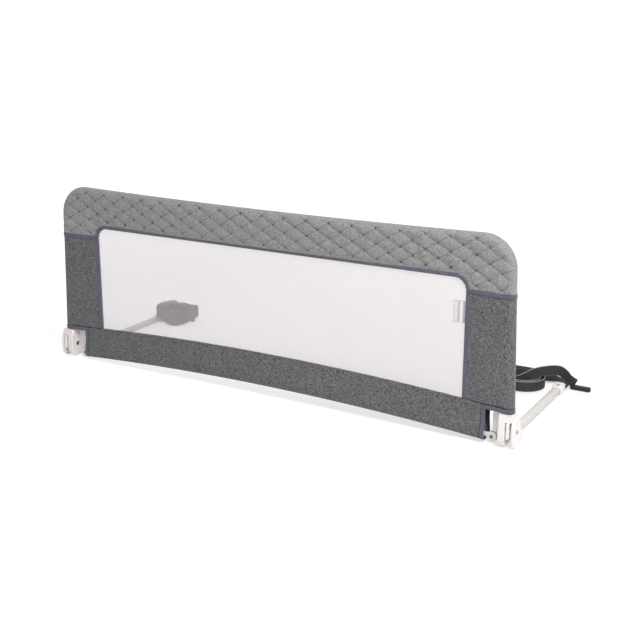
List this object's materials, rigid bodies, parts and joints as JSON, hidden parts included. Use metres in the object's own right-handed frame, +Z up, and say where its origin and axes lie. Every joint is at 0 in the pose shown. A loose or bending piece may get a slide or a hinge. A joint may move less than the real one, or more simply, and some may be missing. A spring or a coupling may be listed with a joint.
{
  "type": "folding bed guard rail",
  "caption": "Folding bed guard rail: a fabric covered tube frame with a quilted top and a mesh window, hinged on flat legs that slide under a mattress, with webbing straps.",
  "frame": {"origin": "on the floor under the middle of the panel, hinges and legs", "axes": "+X along the rail to the end with the long strap loop, +Y under the bed, +Z up"},
  "size_m": [1.2314, 0.4735, 0.4349],
  "materials": {
    "painted_tube": "gloss white powder coat",
    "white_plastic": "smooth moulded",
    "steel": "zinc plated",
    "quilted_fabric": "quilted melange",
    "melange_fabric": "plain weave melange",
    "binding_tape": "woven tape",
    "mesh_net": "fine knitted net",
    "tag_film": "soft film",
    "webbing": "ribbed webbing",
    "black_plastic": "moulded"
  },
  "bodies": {
    "left_leg": {"hinge_base_left": "white_plastic", "pivot_bolt_left": "steel", "pivot_nut_left": "steel", "leg_tube_left": "painted_tube", "leg_cap_left": "white_plastic", "leg_screw_left": "steel", "cap_screw_left": "steel", "strap_hank_left": "webbing", "strap_tail_left": "webbing", "anchor_bar_left": "black_plastic"},
    "right_leg": {"hinge_base_right": "white_plastic", "pivot_bolt_right": "steel", "pivot_nut_right": "steel", "leg_tube_right": "painted_tube", "leg_cap_right": "white_plastic", "leg_screw_right": "steel", "cap_screw_right": "steel", "strap_hank_right": "webbing", "strap_tail_right": "webbing", "anchor_bar_right": "black_plastic"},
    "release_button_left": {"release_button_left": "white_plastic"},
    "release_button_right": {"release_button_right": "white_plastic"},
    "rail": {"blank_tag": "tag_film", "bottom_joiner": "steel", "bottom_tube_left": "painted_tube", "bottom_tube_right": "painted_tube", "button_spring_left": "steel", "button_spring_right": "steel", "cover_bottom": "melange_fabric", "cover_side_left": "melange_fabric", "cover_side_right": "melange_fabric", "cover_top_quilted": "quilted_fabric", "frame_tube_left": "painted_tube", "frame_tube_right": "painted_tube", "knuckle_left": "white_plastic", "knuckle_right": "white_plastic", "lug_screw_left": "steel", "lug_screw_right": "steel", "mesh_window": "mesh_net", "notch_tape_left": "binding_tape", "notch_tape_right": "binding_tape", "seam_tape_left": "binding_tape", "seam_tape_right": "binding_tape", "top_joiner": "steel", "upright_screw_left": "steel", "upright_screw_right": "steel", "window_binding": "binding_tape"}
  },
  "joints": [
    {"name": "rail_fold", "type": "hinge", "parent": "left_leg", "child": "rail", "pos_m": [0, -0.174, 0.0335], "axis": [1, 0, 0], "range_deg": [0, 180]},
    {"name": "right_leg_fold", "type": "hinge", "parent": "rail", "child": "right_leg", "pos_m": [0, -0.174, 0.0335], "axis": [1, 0, 0], "range_deg": [-180, 0]},
    {"name": "button_press_left", "type": "slide", "parent": "rail", "child": "release_button_left", "axis": [0, 1, 0], "range_m": [0, 0.004], "stiffness_N_per_m": 800, "springref_m": -0.003, "deforming": ["button_spring_left"]},
    {"name": "button_press_right", "type": "slide", "parent": "rail", "child": "release_button_right", "axis": [0, 1, 0], "range_m": [0, 0.004], "stiffness_N_per_m": 800, "springref_m": -0.003, "deforming": ["button_spring_right"]}
  ],
  "couplings": [
    {"joint": "right_leg_fold", "follows": "rail_fold", "ratio": -1}
  ]
}
